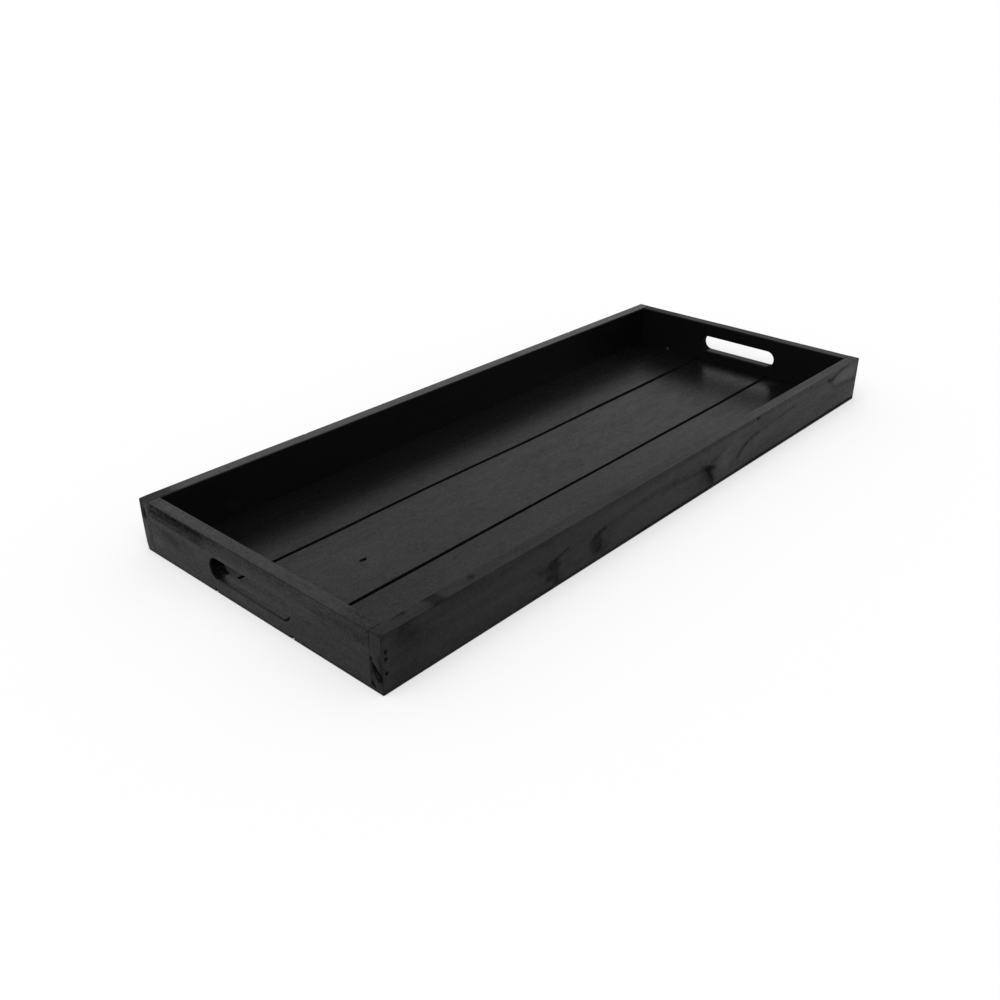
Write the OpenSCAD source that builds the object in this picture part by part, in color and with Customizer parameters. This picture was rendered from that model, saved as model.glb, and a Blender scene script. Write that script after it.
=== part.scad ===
// Long serving tray of black-stained softwood.
// Two side boards run the full length, two end boards with hand slots stand between them,
// and three thin planks are nailed under this frame as the floor.
// X runs along the tray, Y across it and Z up. The origin is the middle of the underside.

/* [Tray] */
// Length over the ends
tray_length = 700; // [500:10:900]
// Width over the sides
tray_width = 288; // [250:2:360]

/* [Frame boards] */
// Height of the side boards and end boards
board_height = 44.5; // [40:0.5:80]
// Thickness of the side boards and end boards
board_thickness = 12; // [10:0.5:18]
// Radius planed onto the long edges of the frame boards
board_arris = 1; // [0.5:0.1:1.5]
// Radius sanded onto the sawn ends of every board and plank
sawn_arris = 0.4; // [0.2:0.1:0.8]

/* [Floor planks] */
// Thickness of the floor planks
plank_thickness = 3; // [2.5:0.5:6]
// Width of the middle plank; the outer two share the rest of the tray's width
middle_plank_width = 89.5; // [70:0.5:110]
// Open gap between neighbouring planks
plank_gap = 2.75; // [1:0.25:4]
// Radius planed onto the long edges of the planks
plank_arris = 0.8; // [0.2:0.1:1.2]

/* [Hand slots] */
// Length of a hand slot over its round ends
slot_length = 98; // [80:1:120]
// Height of a hand slot
slot_height = 18; // [14:0.5:20]
// Height of the slot's middle above the end board's lower edge
slot_rise = 19.75; // [18:0.25:24]
// Radius routed around each mouth of a slot
slot_arris = 1.2; // [0.4:0.1:1.5]

/* [Corner nails] */
// Diameter of the shank
corner_shank = 1.6; // [1.2:0.1:2]
// Diameter of the head
corner_head = 3; // [2.2:0.1:3.4]
// Depth that a corner nail goes into the end board
corner_bite = 18; // [14:1:24]

/* [Floor nails] */
// Diameter of the shank
floor_shank = 1.2; // [1:0.1:1.6]
// Diameter of the head
floor_head = 2.4; // [2:0.1:3]
// Depth that a floor nail goes into a frame board
floor_bite = 8; // [6:0.5:9]
// Largest distance between floor nails along a side board
floor_nail_pitch = 100; // [80:5:150]

/* [Nail fit] */
// Height of a nail's head
head_height = 1; // [0.8:0.1:1.4]
// Depth that a head is set below the surface of the wood
head_set = 0.4; // [0.2:0.1:0.6]
// Length of a nail's tapered point
point_length = 2.4; // [1.5:0.1:3]
// Room around a nail in its bore
bore_clearance = 0.04; // [0.02:0.01:0.08]

/* [Hidden] */

// Heights of the corner nails, as shares of the board's height
corner_height_shares = [0.31, 0.57, 0.7];
// Distances of nails from the tray's outer faces, as shares of the frame board's thickness
corner_inset_share = 0.31;
floor_inset_share = 0.65;
// Places of nails across a plank's end, as shares of its width, from the inner edge outwards
outer_nail_shares = [0.2, 0.62];
middle_nail_shares = [0.2, 0.8];

half_length = tray_length / 2;
half_width = tray_width / 2;
board_middle = plank_thickness + board_height / 2;
end_board_length = tray_width - 2 * board_thickness;
outer_plank_width = (tray_width - middle_plank_width) / 2 - plank_gap;
outer_plank_middle = half_width - outer_plank_width / 2;
slot_middle = plank_thickness + slot_rise;
corner_nail_length = board_thickness - head_set + corner_bite;
floor_nail_length = plank_thickness - head_set + floor_bite;

// A cut runs this far past the faces that it opens
overrun = 1;

board_colour = "#313132";
end_colour = "#353536";
plank_colour = "#3a3a3b";
nail_colour = "#1c1c1e";

$fn = 48;

// Outline with four round corners, centred
module round_rectangle(width, height, radius) {
    for (x = [-1, 1], y = [-1, 1])
        translate([x * (width / 2 - radius), y * (height / 2 - radius)])
            circle(r = radius);
    square([width - 2 * radius, height], center = true);
    square([width, height - 2 * radius], center = true);
}

// Board along X, centred. Its long edges carry the arris, its sawn ends the finer sawn arris.
module eased_board(length, width, height, arris) {
    intersection() {
        rotate([90, 0, 90])
            linear_extrude(height = length, center = true)
                round_rectangle(width, height, arris);
        linear_extrude(height = height, center = true)
            round_rectangle(length, width, sawn_arris);
        rotate([90, 0, 0])
            linear_extrude(height = width, center = true)
                round_rectangle(length, height, sawn_arris);
    }
}

// Nail along +Z with its head's flat top at the origin. With some room it is the nail's bore.
module nail_shape(length, shank, head, room = 0) {
    lead = room > 0 ? head_set + overrun : 0;
    translate([0, 0, -lead])
        cylinder(d = head + 2 * room, h = head_height + lead + room);
    cylinder(d = shank + 2 * room, h = length - point_length);
    translate([0, 0, length - point_length])
        cylinder(d1 = shank + 2 * room, d2 = room, h = point_length + room);
}

// Places the corner nails of one side: side is -1 at the front and 1 at the back
module at_corner_nails(side) {
    for (end = [-1, 1], share = corner_height_shares)
        translate([
            end * (half_length - board_thickness * corner_inset_share),
            side * (half_width - head_set),
            plank_thickness + board_height * share
        ])
            rotate([side * 90, 0, 0])
                children();
}

// Places the floor nails of a plank's two ends, which go up into the end boards
module at_end_floor_nails(middle, width) {
    out = middle < 0 ? -1 : 1;
    shares = middle == 0 ? middle_nail_shares : outer_nail_shares;
    for (end = [-1, 1], share = shares)
        translate([
            end * (half_length - board_thickness * floor_inset_share),
            middle + out * width * (share - 1 / 2),
            head_set
        ])
            children();
}

// Places the floor nails along one side, which go up into the side board
module at_side_floor_nails(side) {
    run = tray_length - 4 * board_thickness;
    bays = ceil(run / floor_nail_pitch);
    for (i = [0:bays])
        translate([
            run * (i / bays - 1 / 2),
            side * (half_width - board_thickness * floor_inset_share),
            head_set
        ])
            children();
}

module all_floor_nail_places() {
    at_end_floor_nails(-outer_plank_middle, outer_plank_width) children();
    at_end_floor_nails(0, middle_plank_width) children();
    at_end_floor_nails(outer_plank_middle, outer_plank_width) children();
    for (side = [-1, 1])
        at_side_floor_nails(side) children();
}

module corner_nail(room = 0) {
    nail_shape(corner_nail_length, corner_shank, corner_head, room);
}

module floor_nail(room = 0) {
    nail_shape(floor_nail_length, floor_shank, floor_head, room);
}

module side_board(side) {
    difference() {
        translate([0, side * (half_width - board_thickness / 2), board_middle])
            eased_board(tray_length, board_thickness, board_height, board_arris);
        at_corner_nails(side) corner_nail(bore_clearance);
        at_side_floor_nails(side) floor_nail(bore_clearance);
    }
}

// Half of the hand slot's section: X is the distance from the slot's middle line, and Y goes
// through the board. The wood that it leaves ends in a round nose at each face of the board.
module slot_section() {
    depth = board_thickness + 2 * overrun;
    nose = board_thickness / 2 - slot_arris;
    difference() {
        translate([0, -depth / 2])
            square([slot_height / 2 + slot_arris, depth]);
        translate([slot_height / 2, -nose])
            square([slot_arris + overrun, 2 * nose]);
        for (face = [-1, 1])
            translate([slot_height / 2 + slot_arris, face * nose])
                circle(r = slot_arris);
    }
}

// Long hole with half-round ends, which lies along Y and goes through the board along X
module hand_slot() {
    straight = slot_length - slot_height;
    for (turn = [0, 180])
        rotate([turn, 0, 0]) {
            rotate([90, 0, 0])
                linear_extrude(height = straight, center = true)
                    rotate(90)
                        slot_section();
            translate([0, straight / 2, 0])
                rotate([0, 90, 0])
                    rotate_extrude()
                        slot_section();
        }
}

module end_board(end) {
    difference() {
        translate([end * (half_length - board_thickness / 2), 0, board_middle])
            rotate(90)
                eased_board(end_board_length, board_thickness, board_height, board_arris);
        translate([end * (half_length - board_thickness / 2), 0, slot_middle])
            hand_slot();
        for (side = [-1, 1])
            at_corner_nails(side) corner_nail(bore_clearance);
        all_floor_nail_places() floor_nail(bore_clearance);
    }
}

module floor_plank(middle, width) {
    difference() {
        translate([0, middle, plank_thickness / 2])
            eased_board(tray_length, width, plank_thickness, plank_arris);
        at_end_floor_nails(middle, width) floor_nail(bore_clearance);
        if (middle != 0)
            at_side_floor_nails(sign(middle)) floor_nail(bore_clearance);
    }
}

module front_side_board() {
    color(board_colour) side_board(-1);
}

module back_side_board() {
    color(board_colour) side_board(1);
}

module left_end_board() {
    color(end_colour) end_board(-1);
}

module right_end_board() {
    color(end_colour) end_board(1);
}

module front_floor_plank() {
    color(plank_colour) floor_plank(-outer_plank_middle, outer_plank_width);
}

module middle_floor_plank() {
    color(plank_colour) floor_plank(0, middle_plank_width);
}

module back_floor_plank() {
    color(plank_colour) floor_plank(outer_plank_middle, outer_plank_width);
}

module corner_nails() {
    color(nail_colour)
        for (side = [-1, 1])
            at_corner_nails(side) corner_nail();
}

module floor_nails() {
    color(nail_colour) all_floor_nail_places() floor_nail();
}

front_side_board();
back_side_board();
left_end_board();
right_end_board();
front_floor_plank();
middle_floor_plank();
back_floor_plank();
corner_nails();
floor_nails();
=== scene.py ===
# %% [markdown]
# # A long serving tray of black-stained softwood
#
# The tray is two side boards, two end boards with hand slots and three thin floor planks, nailed
# together and stained black. A CAD program has already settled every size. What is left for
# Blender is what the eye goes over: eased edges, saw marks, knots, small dents, and a satin stain
# that lets the grain through.
#
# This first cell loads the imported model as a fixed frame. Nothing in it is moved or reshaped. A
# board that needs finer shapes is made again over its CAD solid, and stands in for it.

# %% Load the frame
import math

import bpy
import numpy as np
from mathutils import Matrix, Vector


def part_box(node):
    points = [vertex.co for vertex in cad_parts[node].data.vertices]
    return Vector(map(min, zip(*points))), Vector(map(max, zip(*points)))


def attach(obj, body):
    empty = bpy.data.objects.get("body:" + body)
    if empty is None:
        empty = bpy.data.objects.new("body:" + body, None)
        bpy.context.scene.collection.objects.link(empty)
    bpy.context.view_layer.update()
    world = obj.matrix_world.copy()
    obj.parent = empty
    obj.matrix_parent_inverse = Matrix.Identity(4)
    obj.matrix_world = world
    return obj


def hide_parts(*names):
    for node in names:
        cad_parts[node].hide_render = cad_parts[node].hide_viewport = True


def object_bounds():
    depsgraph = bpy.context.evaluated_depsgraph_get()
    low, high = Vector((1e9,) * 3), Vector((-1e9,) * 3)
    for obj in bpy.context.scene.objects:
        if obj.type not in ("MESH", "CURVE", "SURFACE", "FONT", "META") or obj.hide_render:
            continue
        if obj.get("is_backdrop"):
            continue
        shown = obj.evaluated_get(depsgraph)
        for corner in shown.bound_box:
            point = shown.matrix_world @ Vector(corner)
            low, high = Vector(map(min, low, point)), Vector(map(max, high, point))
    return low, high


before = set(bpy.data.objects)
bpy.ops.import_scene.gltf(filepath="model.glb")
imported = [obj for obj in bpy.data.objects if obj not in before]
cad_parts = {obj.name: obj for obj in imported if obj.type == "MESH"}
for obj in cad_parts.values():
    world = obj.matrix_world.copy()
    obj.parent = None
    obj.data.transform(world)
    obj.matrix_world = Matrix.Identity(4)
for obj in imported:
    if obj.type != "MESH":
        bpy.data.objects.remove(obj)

cad_low, cad_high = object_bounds()
scene = bpy.context.scene
MM = 0.001


def wood_box(node):
    """Lowest and highest corner of a CAD piece, in millimetres."""
    low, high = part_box(node)
    return np.array(low) / MM, np.array(high) / MM


def cad_points(node):
    """The points of a CAD piece, in millimetres."""
    return np.array([vertex.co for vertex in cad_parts[node].data.vertices]) / MM


print("The frame holds", ", ".join(sorted(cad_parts)))
print("The tray measures", [round(side / MM, 1) for side in cad_high - cad_low], "mm")

# %% [markdown]
# ## The camera
#
# The camera comes first, because every later choice is judged through it. Its place was worked out
# from the corners of the tray in the picture: it stands off the tray's left end, a bit less than
# half a metre up, and looks down at it. A camera in Blender looks along its own -Z axis, so
# `to_track_quat("-Z", "Y")` turns it towards a point, and a small roll about that axis makes the
# horizon match.

# %% Place the camera
EYE = Vector((-0.70938, -0.56803, 0.44048))
AIM = Vector((-0.09068, -0.01522, 0))
ROLL = math.radians(0.2136)
LENS, SENSOR = 37.516, 36

camera = bpy.data.objects.new("studio_camera", bpy.data.cameras.new("studio_camera"))
camera.data.lens, camera.data.sensor_width = LENS, SENSOR
camera.data.clip_start, camera.data.clip_end = 0.05, 60
turn = (AIM - EYE).to_track_quat("-Z", "Y").to_matrix().to_4x4()
camera.matrix_world = Matrix.Translation(EYE) @ turn @ Matrix.Rotation(ROLL, 4, "Z")
scene.collection.objects.link(camera)
scene.camera = camera
print("The camera stands", round((AIM - EYE).length, 2), "m from the point that it looks at")

# %% [markdown]
# ## Short names for node work
#
# A material in Blender is a graph of nodes. Written out in full it takes many lines, so a few
# helpers keep it readable. `add` makes a node and connects or sets its inputs, and `calc` makes a
# Math node and returns its result, so sums read almost like sums. The others are built from them.

# %% Helpers for nodes
def add(tree, kind, inputs=None, **settings):
    """A new node. Each input is another node's output, which is linked, or a plain value."""
    made = tree.nodes.new("ShaderNode" + kind)
    for key, value in settings.items():
        setattr(made, key, value)
    for key, value in (inputs or {}).items():
        if isinstance(value, bpy.types.NodeSocket):
            tree.links.new(value, made.inputs[key])
        else:
            made.inputs[key].default_value = value
    return made


def calc(tree, operation, *values, clamp=False):
    """The result of a Math node."""
    return add(tree, "Math", dict(enumerate(values)), operation=operation, use_clamp=clamp).outputs[0]


def spread(tree, value, low, high, to_low=0.0, to_high=1.0, smooth=True):
    """Brings a value from one range to another, without going past its ends."""
    return add(
        tree, "MapRange",
        {"Value": value, "From Min": low, "From Max": high, "To Min": to_low, "To Max": to_high},
        interpolation_type="SMOOTHSTEP" if smooth else "LINEAR",
    ).outputs[0]


def new_tree(holder):
    """Turns on the nodes of a material or a world, and empties them."""
    holder.use_nodes = True
    holder.node_tree.nodes.clear()
    return holder.node_tree


def blend_by(tree, share, start, end):
    """The start value at share 0, the end value at share 1."""
    return add(tree, "Mix", {"Factor": share, "A": start, "B": end}, data_type="FLOAT").outputs["Result"]


def weigh(tree, start, *parts):
    """Adds values at their weights to a start. A noise counts from its middle, which is a half."""
    for value, weight, middle in parts:
        start = calc(tree, "MULTIPLY_ADD", calc(tree, "SUBTRACT", value, middle), weight, start)
    return start


def grey(tree, level):
    """A colour with as much red as green and blue."""
    return add(tree, "CombineColor", {"Red": level, "Green": level, "Blue": level}).outputs[0]


def to_output(tree, shader, kind="OutputMaterial"):
    """Shows a shader on the surface of a material, or in a world."""
    tree.links.new(shader.outputs[0], add(tree, kind).inputs["Surface"])


print("Node helpers are ready")

# %% [markdown]
# ## A white studio
#
# Black stained wood shows mostly what it reflects. In a white studio its top and sides look dark
# grey, while the inner walls, which reflect the black floor of the tray, stay almost black. So the
# room matters as much as the stain. The world is plain white for the camera. In the gloss of the
# wood it is white overhead and a little greyer towards the horizon, as a studio with lamps above
# is, and where it only lights the tray it is dimmer. One wide, soft sun adds the direction of a
# studio lamp. The floor is pale and takes the tray's soft shadow. It gives off some light of its
# own to the camera, so that it is as white as the backdrop where no shadow falls, and a fifth of
# that to the gloss of the wood. Under the tray it gives off none, or the gaps between the planks
# would glow.

# %% A white world
FILL_LEVEL = 0.5
HORIZON_LEVEL, BRIGHT_FROM = 0.62, 0.75
FULL_WHITE = (1, 1, 1, 1)

world = bpy.data.worlds.new("white_studio")
scene.world = world
tree = new_tree(world)
upward = add(tree, "SeparateXYZ", {0: add(tree, "TexCoord").outputs["Generated"]}).outputs["Z"]
walls = spread(tree, upward, 0, BRIGHT_FROM, HORIZON_LEVEL, 1, smooth=False)
path = add(tree, "LightPath").outputs
level = blend_by(tree, path["Is Glossy Ray"], FILL_LEVEL, walls)
seen = calc(tree, "MAXIMUM", path["Is Camera Ray"], path["Is Transmission Ray"])
level = blend_by(tree, seen, level, 1.0)
to_output(tree, add(tree, "Background", {"Color": FULL_WHITE, "Strength": level}), "OutputWorld")
world.cycles.sampling_method = "NONE"
print("The white world lights the tray at", FILL_LEVEL, "of full white")

# %% A soft lamp
SUN_LEVEL = 0.5
SUN_HEIGHT, SUN_SIDE, SUN_SPREAD = math.radians(62), math.radians(-150), math.radians(70)

sun = bpy.data.objects.new("soft_lamp", bpy.data.lights.new("soft_lamp", "SUN"))
sun.data.energy = SUN_LEVEL * math.pi / math.sin(SUN_HEIGHT)
sun.data.angle = SUN_SPREAD
sun.visible_glossy = False
sun_from = Vector((
    math.cos(SUN_HEIGHT) * math.cos(SUN_SIDE),
    math.cos(SUN_HEIGHT) * math.sin(SUN_SIDE),
    math.sin(SUN_HEIGHT),
))
sun.rotation_mode = "QUATERNION"
sun.rotation_quaternion = sun_from.to_track_quat("Z", "Y")
scene.collection.objects.link(sun)
print("The lamp stands", round(math.degrees(SUN_HEIGHT)), "degrees up and adds", SUN_LEVEL, "more")

# %% The pale floor
FLOOR_TONE, FLOOR_HALF, FLOOR_DROP = 0.7, 12, 0.00005
GROUND_GLOSS = 0.2

floor_mesh = bpy.data.meshes.new("studio_floor")
floor_mesh.from_pydata(
    [(x * FLOOR_HALF, y * FLOOR_HALF, -FLOOR_DROP) for x, y in ((-1, -1), (1, -1), (1, 1), (-1, 1))],
    [], [(0, 1, 2, 3)],
)
studio_floor = bpy.data.objects.new("studio_floor", floor_mesh)
scene.collection.objects.link(studio_floor)
studio_floor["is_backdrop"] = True

floor_white = bpy.data.materials.new("studio_floor")
tree = new_tree(floor_white)
lit = add(tree, "BsdfDiffuse", {"Color": (FLOOR_TONE, FLOOR_TONE, FLOOR_TONE, 1)})
spot = add(tree, "SeparateXYZ", {0: add(tree, "TexCoord").outputs["Object"]}).outputs
beside = [
    calc(tree, "GREATER_THAN", calc(tree, "ABSOLUTE", spot[i]), float(cad_high[i])) for i in (0, 1)
]
path = add(tree, "LightPath").outputs
seen = calc(tree, "MAXIMUM", path["Is Camera Ray"], path["Is Transmission Ray"])
seen = calc(tree, "MULTIPLY_ADD", path["Is Glossy Ray"], GROUND_GLOSS, seen)
seen = calc(tree, "MULTIPLY", seen, calc(tree, "MAXIMUM", *beside))
lift = add(tree, "Emission", {
    "Color": FULL_WHITE, "Strength": calc(tree, "MULTIPLY", seen, 1 - FLOOR_TONE),
})
to_output(tree, add(tree, "AddShader", {0: lit.outputs[0], 1: lift.outputs[0]}))
floor_white.cycles.emission_sampling = "NONE"
floor_mesh.materials.append(floor_white)
scene.view_settings.view_transform = "Standard"
print("A pale floor is lit at", FILL_LEVEL + SUN_LEVEL, "of full white, so colours look as written")

# %% [markdown]
# ## Boards as blocks of cells
#
# A planed board is a block, but its edges are never sharp. A Bevel modifier could round them. Here
# the mesh is built from grid lines instead, because the same lines can crowd together where a
# nail, a dent or a saw mark needs a finer mesh and run wide apart on the plain stretches between.
#
# `lines` lays the grid lines of one direction. `skin` takes three sets of them and a block of
# cells that are wood or air, and returns the quads between wood and air. A hand slot is then
# nothing but cells of air.

# %% Grid lines and the skin round them
ARC = np.radians([0, 15, 30, 45])
GUARD, SLOWING, LEAST_STEP = 0.3, 0.45, 0.02
ROUNDING, TINY = 1e-6, 1e-9


def lines(low, high, pitch, low_radii=(), high_radii=(), spots=()):
    """Grid lines from low to high, in millimetres, at most pitch apart. Radii at an end give it the
    lines of a round edge. A spot is (place, reach, step), and steps shorten towards it."""
    near_low, near_high = (
        sorted({round(radius * (1 - math.tan(angle)), 3) for radius in radii for angle in ARC} | {0.0})
        for radii in (low_radii, high_radii)
    )
    first = low + near_low[-1] + (GUARD if low_radii else 0)
    last = high - near_high[-1] - (GUARD if high_radii else 0)
    walk = [first]
    while walk[-1] < last - ROUNDING:
        here = walk[-1]
        steps = [max(step, SLOWING * (abs(here - place) - reach)) for place, reach, step in spots]
        walk.append(here + min([pitch, *steps]))
    walk = np.array(walk)
    walk = first + (walk - first) * (last - first) / max(walk[-1] - first, TINY)
    laid = np.concatenate([low + np.array(near_low), walk, high - np.array(near_high)])
    laid = np.sort(laid)
    return laid[np.concatenate([[True], np.diff(laid) > LEAST_STEP])]


def skin(xs, ys, zs, wood=None):
    """The points and the outward quads round the cells that are wood, which are all if none is given."""
    grid = np.stack(np.meshgrid(xs, ys, zs, indexing="ij"), axis=-1)
    number = np.arange(grid[..., 0].size).reshape(grid.shape[:3])
    if wood is None:
        wood = np.ones(np.array(grid.shape[:3]) - 1, bool)
    padded = np.pad(wood, 1).astype(int)
    quads = []
    for axis in range(3):
        a, b = (other for other in range(3) if other != axis)
        keep = [slice(1, -1)] * 3
        keep[axis] = slice(None)
        change = np.diff(padded, axis=axis)[tuple(keep)]
        for step in (1, -1):
            cells = np.argwhere(change == step)
            corners = []
            for along_a, along_b in ((0, 0), (1, 0), (1, 1), (0, 1)):
                corner = cells.copy()
                corner[:, a] += along_a
                corner[:, b] += along_b
                corners.append(number[tuple(corner.T)])
            quad = np.stack(corners, axis=-1)
            quads.append(quad if (step == -1) != (axis == 1) else quad[:, ::-1])
    used, quads = np.unique(np.concatenate(quads), return_inverse=True)
    return grid.reshape(-1, 3)[used], quads.reshape(-1, 4)


cube_points, cube_quads = skin(*[lines(0, 10, 5)] * 3)
print("A plain block of 2 cells a side has", len(cube_points), "points and", len(cube_quads), "quads")

# %% [markdown]
# ## Easing edges and pressing dents
#
# Two small tools shape the skin. `ease` turns the sharp edge between two directions into a round
# one: a point in the square corner zone slides in until the square has become a quarter circle.
# `press` moves the wood round one place, fully in the middle and less and less towards the rim,
# as a hammer, a nail punch or a knock does. `waver` draws the slow waves that a saw or a plane
# leaves, and `make_piece` turns a finished skin into an object that rides on the tray.

# %% Tools that shape a skin
WAVE_SHARES = (1.0, 0.53, 0.27)


def fading(distance, reach):
    """1 at no distance, down to 0 at the reach and past it."""
    return np.clip(1 - distance / reach, 0, 1)


def soften(share):
    """A share from 0 to 1, with a slow start and a slow end."""
    return share * share * (3 - 2 * share)


def ease(points, low, high, axes, radius, sides=(0, 0)):
    """Rounds the edges between the faces across two axes. A side of -1 or 1 keeps to the low or the
    high face across its axis."""
    middle, half = (low + high) / 2, (high - low) / 2
    past = []
    for i, side in zip(axes, sides):
        out = (points[:, i] - middle[i]) * side if side else np.abs(points[:, i] - middle[i])
        past.append(np.maximum(out - half[i] + radius, 0))
    longest, reach = np.maximum(*past), np.hypot(*past)
    share = np.divide(longest, reach, out=np.ones_like(reach), where=reach > 0)
    for i, over in zip(axes, past):
        points[:, i] -= np.sign(points[:, i] - middle[i]) * over * (1 - share)


def press(points, place, reach, push, flat=0.0):
    """Moves the wood within reach of a place. Inside the flat share of the reach it moves fully."""
    far = np.linalg.norm((points - place) / reach, axis=1)
    share = np.clip((1 - far) / (1 - flat), 0, 1)
    points += soften(share)[:, None] * np.array(push, float)


def waver(places, wavelength, seed):
    """A slow, uneven wave between about -1 and 1, such as a saw or a plane leaves."""
    draw = np.random.default_rng(seed)
    total = np.zeros_like(places)
    for share in WAVE_SHARES:
        start = draw.uniform(0, 2 * math.pi)
        total += share * np.sin(places * 2 * math.pi / (wavelength * share) + start)
    return total / sum(WAVE_SHARES)


def make_piece(name, node, points, quads, finish, slot, **fields):
    """A smooth mesh that rides on the tray and stands for one CAD piece."""
    mesh = bpy.data.meshes.new(name)
    mesh.from_pydata((points * MM).tolist(), [], quads.tolist())
    mesh.polygons.foreach_set("use_smooth", np.ones(len(quads), bool))
    for title, values in fields.items():
        layer = mesh.attributes.new(title, "FLOAT", "POINT")
        layer.data.foreach_set("value", np.asarray(values, np.float32))
    mesh.materials.append(finish)
    piece = bpy.data.objects.new(name, mesh)
    scene.collection.objects.link(piece)
    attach(piece, "root")
    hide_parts(node)
    print(f"{name}: {len(points)} points, {len(quads)} quads")


print("Edges get round, and wood gives way, by a few short sums")

# %% [markdown]
# ## Stained softwood
#
# Softwood is built of growth rings round the middle of the tree, the pith. A board is cut from
# somewhere beside it, so its face shows arches and its edge shows lines. The material works the
# same way: it measures how far each point lies from the pith and cuts that distance into rings.
# Because this goes on in space, the pattern carries over every edge and onto the sawn ends.
#
# Black stain has next to no colour of its own. What shows is how much of the surface is smooth
# enough to mirror the white room. So two shaders are mixed: satin wood, and dull wood where pores,
# loose fibres and saw cuts swallow the light. The dull shader also lays painted shade. Each mesh
# carries three fields. `rings` bends the rings round a knot. `stain` is below 0
# where the wood is dull and where shade is painted, and all dull at -1. It is above 0 where little
# stain took and the wood is paler, and where a highlight is painted. `worn` marks the edges that
# hands have rubbed.

# %% Noise and growth rings
RING_SWAY, RING_WOBBLE = 14, 1.2
LATE_FROM, LATE_FULL, LATE_END = 0.35, 0.86, 0.9


def noise(wood, stretch, detail=2.0, shift=0.0, output="Fac", rough=0.5):
    """Noise in a wood, which is (tree, place, seed). Its patches are stretch millimetres long, across
    and up."""
    tree, place, seed = wood
    scaled = add(tree, "VectorMath", {0: place, 1: tuple(1 / s for s in stretch)}, operation="MULTIPLY")
    return add(
        tree, "TexNoise",
        {
            "Vector": scaled.outputs[0], "W": seed + shift, "Scale": 1.0,
            "Detail": detail, "Roughness": rough,
        },
        noise_dimensions="4D",
    ).outputs[output]


def field(tree, title):
    """A field that the mesh carries."""
    return add(tree, "Attribute", attribute_name=title).outputs["Fac"]


def late_wood(wood, ring_pitch):
    """The dense late wood at the outer side of each growth ring, from 0 to 1."""
    tree, place, seed = wood
    sway = noise(wood, (260, 40, 40), output="Color")
    sway = add(tree, "VectorMath", {0: sway, 1: (0.5, 0.5, 0.5)}, operation="SUBTRACT").outputs[0]
    pull = (0, RING_SWAY, RING_SWAY)
    bent = add(tree, "VectorMath", {0: sway, 1: pull, 2: place}, operation="MULTIPLY_ADD")
    across = add(tree, "VectorMath", {0: bent.outputs[0], 1: (0, 1, 1)}, operation="MULTIPLY")
    radius = add(tree, "VectorMath", {0: across.outputs[0]}, operation="LENGTH").outputs["Value"]
    radius = calc(tree, "ADD", radius, field(tree, "rings"))
    radius = calc(tree, "MULTIPLY_ADD", noise(wood, (60, 5, 5), shift=3.0), RING_WOBBLE, radius)
    phase = calc(tree, "FRACT", calc(tree, "DIVIDE", radius, ring_pitch))
    rising = spread(tree, phase, LATE_FROM, LATE_FULL)
    return calc(tree, "MULTIPLY", rising, spread(tree, phase, LATE_END, 1.0, 1.0, 0.0))


print("Late wood fills each ring from", LATE_FROM, "to", LATE_END, "of its width")

# %% The stained wood material
STAIN_TONE, PALE_TONE, WORN_TONE, RING_TONE = 0.0026, 0.05, 0.01, 0.0008
DULL_SHARE, DULL_GLOSS, DULL_ROUGH = 0.14, 0.06, 0.85
DULL_TONE, FIBRE_TONE = 0.0014, 0.0012
LATE_DULL, STREAK_DULL, FIBRE_DULL, PORE_DULL = -0.12, 0.5, 0.3, 0.7
PATCH_DULL, MOTTLE_DULL, SPECK_DULL = 0.22, 0.2, 0.75
PORE_FROM, PORE_FULL = 0.66, 0.74
ROUGH_SWING = 0.12
GRAIN_RISE, SPECK_RISE, PORE_RISE = 0.03, 0.01, -0.05


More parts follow.
